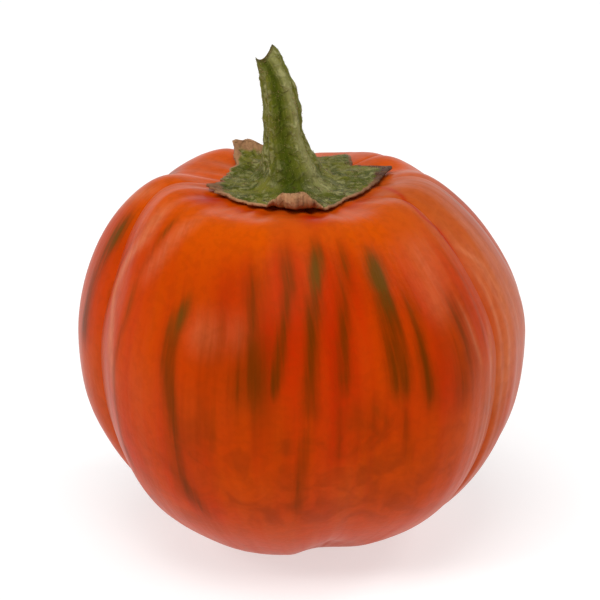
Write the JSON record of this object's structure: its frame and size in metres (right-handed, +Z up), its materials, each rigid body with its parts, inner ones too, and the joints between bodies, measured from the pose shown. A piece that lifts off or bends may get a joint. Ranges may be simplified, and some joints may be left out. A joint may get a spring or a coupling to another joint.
{
  "type": "scarlet eggplant",
  "caption": "Whole ribbed, tomato-shaped eggplant in glossy scarlet with brown-green streaks, with its green calyx and cut stem, standing on its blossom end.",
  "frame": {"origin": "on the surface that the fruit stands on, in the middle of the part's box in plan", "axes": "+Z up, from the blossom end to the stem; -Y is the front, the side that the picture shows; +X to the right as seen from the front"},
  "size_m": [0.0702, 0.071, 0.0806],
  "materials": {
    "scarlet_skin": "glossy, waxy skin",
    "green_calyx": "dull, scurfy and finely hairy"
  },
  "bodies": {
    "root": {"fruit": "scarlet_skin", "calyx_stem": "green_calyx"}
  },
  "joints": []
}
